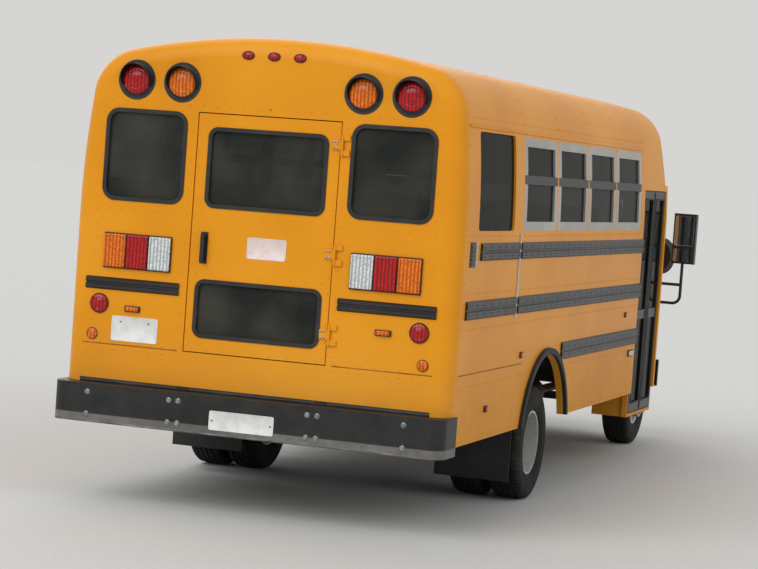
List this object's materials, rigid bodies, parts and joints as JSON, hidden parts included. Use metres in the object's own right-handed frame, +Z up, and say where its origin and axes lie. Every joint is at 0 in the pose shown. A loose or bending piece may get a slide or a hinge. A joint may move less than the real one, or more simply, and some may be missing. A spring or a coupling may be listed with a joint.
{
  "type": "school bus",
  "caption": "Short school bus on a cutaway van chassis, with steering, rolling wheels, a folding entrance door, a rear emergency door, a hinged hood and a stop arm.",
  "frame": {"origin": "on the ground under the middle of the bus's length and width", "axes": "+X to the right-hand side, the entrance side; +Y forward; +Z up"},
  "size_m": [2.79, 7.12, 2.7898],
  "materials": {
    "body_paint": "gloss enamel",
    "black_paint": "satin enamel",
    "chassis_paint": "matt chassis paint",
    "sash_aluminium": "mill finish",
    "clear_glass": "tempered safety glass",
    "gasket_rubber": "extruded rubber",
    "tyre_rubber": "moulded tyre",
    "wheel_steel": "silver grey enamel",
    "lamp_lens": "moulded acrylic",
    "clear_lens": "moulded clear acrylic",
    "grille_plastic": "moulded",
    "bench_vinyl": "coated seat vinyl",
    "driver_cloth": "woven",
    "seat_steel": "grey enamel",
    "dash_plastic": "grained",
    "floor_rubber": "ribbed mat",
    "cast_metal": "as cast",
    "exhaust_steel": "aluminised, heat dulled",
    "spring_steel": "dull black",
    "stop_red": "gloss enamel",
    "mirror_black": "moulded"
  },
  "bodies": {
    "chassis": {"chassis_frame": "chassis_paint", "floor": "floor_rubber", "side_wall_left": "body_paint", "side_wall_right": "body_paint", "rear_wall": "body_paint", "roof": "body_paint", "front_cap": "body_paint", "cab_shell": "body_paint", "nose": "body_paint", "grille": "grille_plastic", "headlamps": "clear_lens", "front_bumper": "black_paint", "rear_bumper": "black_paint", "windshield": "clear_glass", "window_sashes_left": "sash_aluminium", "window_sashes_right": "sash_aluminium", "side_panes_left": "clear_glass", "side_panes_right": "clear_glass", "rear_panes": "clear_glass", "step_well": "body_paint", "rub_rails": "black_paint", "body_strips": "sash_aluminium", "body_rubber": "gasket_rubber", "tail_and_marker_lamps": "lamp_lens", "warning_lamps": "lamp_lens", "benches": "bench_vinyl", "seat_frames": "seat_steel", "driver_seat": "driver_cloth", "steering_wheel": "dash_plastic", "dashboard": "dash_plastic", "engine": "cast_metal", "rear_driveline": "cast_metal", "leaf_springs": "spring_steel", "front_axle": "chassis_paint", "fuel_tank": "chassis_paint", "exhaust": "exhaust_steel", "mirrors": "mirror_black", "stop_arm_bracket": "black_paint"},
    "hood": {"hood": "body_paint"},
    "rear_door": {"rear_door": "body_paint", "rear_door_handle": "black_paint", "rear_door_gaskets": "gasket_rubber", "rear_door_glass": "clear_glass"},
    "driver_door": {"driver_door": "body_paint", "driver_door_glass": "clear_glass"},
    "entrance_rear": {"entrance_leaf_rear": "black_paint", "entrance_glass_rear": "clear_glass"},
    "entrance_front": {"entrance_leaf_front": "black_paint", "entrance_glass_front": "clear_glass"},
    "steer_left": {"knuckle_left": "cast_metal"},
    "steer_right": {"knuckle_right": "cast_metal"},
    "front_wheel_left": {"front_tyre_left": "tyre_rubber", "front_rim_left": "wheel_steel"},
    "front_wheel_right": {"front_tyre_right": "tyre_rubber", "front_rim_right": "wheel_steel"},
    "rear_wheels_left": {"rear_tyres_left": "tyre_rubber", "rear_rims_left": "wheel_steel"},
    "rear_wheels_right": {"rear_tyres_right": "tyre_rubber", "rear_rims_right": "wheel_steel"},
    "stop_arm": {"stop_arm": "stop_red"}
  },
  "joints": [
    {"name": "hood_hinge", "type": "hinge", "parent": "chassis", "child": "hood", "pos_m": [0, 2.822, 1.332], "axis": [1, 0, 0], "range_deg": [0, 55]},
    {"name": "rear_door_hinge", "type": "hinge", "parent": "chassis", "child": "rear_door", "pos_m": [0.456, -3.452, 1.6], "axis": [0, 0, 1], "range_deg": [0, 105]},
    {"name": "driver_door_hinge", "type": "hinge", "parent": "chassis", "child": "driver_door", "pos_m": [-1.014, 2.485, 1.2], "axis": [0, 0, -1], "range_deg": [0, 65]},
    {"name": "entrance_rear_hinge", "type": "hinge", "parent": "chassis", "child": "entrance_rear", "pos_m": [1.175, 1.5045, 1.2], "axis": [0, 0, -1], "range_deg": [0, 90]},
    {"name": "entrance_front_hinge", "type": "hinge", "parent": "chassis", "child": "entrance_front", "pos_m": [1.175, 2.2755, 1.2], "axis": [0, 0, 1], "range_deg": [0, 90]},
    {"name": "stop_arm_hinge", "type": "hinge", "parent": "chassis", "child": "stop_arm", "pos_m": [-1.232, 1.33, 1.475], "axis": [0, 0, -1], "range_deg": [0, 90]},
    {"name": "steer_left_kingpin", "type": "hinge", "parent": "chassis", "child": "steer_left", "pos_m": [-0.745, 2.8, 0.33], "axis": [0, 0, 1], "range_deg": [-35, 35]},
    {"name": "steer_right_kingpin", "type": "hinge", "parent": "chassis", "child": "steer_right", "pos_m": [0.745, 2.8, 0.33], "axis": [0, 0, 1], "range_deg": [-35, 35]},
    {"name": "front_left_spin", "type": "hinge", "parent": "steer_left", "child": "front_wheel_left", "pos_m": [-0.87, 2.8, 0.372], "axis": [1, 0, 0], "continuous": true},
    {"name": "front_right_spin", "type": "hinge", "parent": "steer_right", "child": "front_wheel_right", "pos_m": [0.87, 2.8, 0.372], "axis": [1, 0, 0], "continuous": true},
    {"name": "rear_left_spin", "type": "hinge", "parent": "chassis", "child": "rear_wheels_left", "pos_m": [-0.91, -1.24, 0.372], "axis": [1, 0, 0], "continuous": true},
    {"name": "rear_right_spin", "type": "hinge", "parent": "chassis", "child": "rear_wheels_right", "pos_m": [0.91, -1.24, 0.372], "axis": [1, 0, 0], "continuous": true}
  ],
  "couplings": [
    {"joint": "entrance_front_hinge", "follows": "entrance_rear_hinge", "ratio": 1},
    {"joint": "steer_right_kingpin", "follows": "steer_left_kingpin", "ratio": 1}
  ]
}
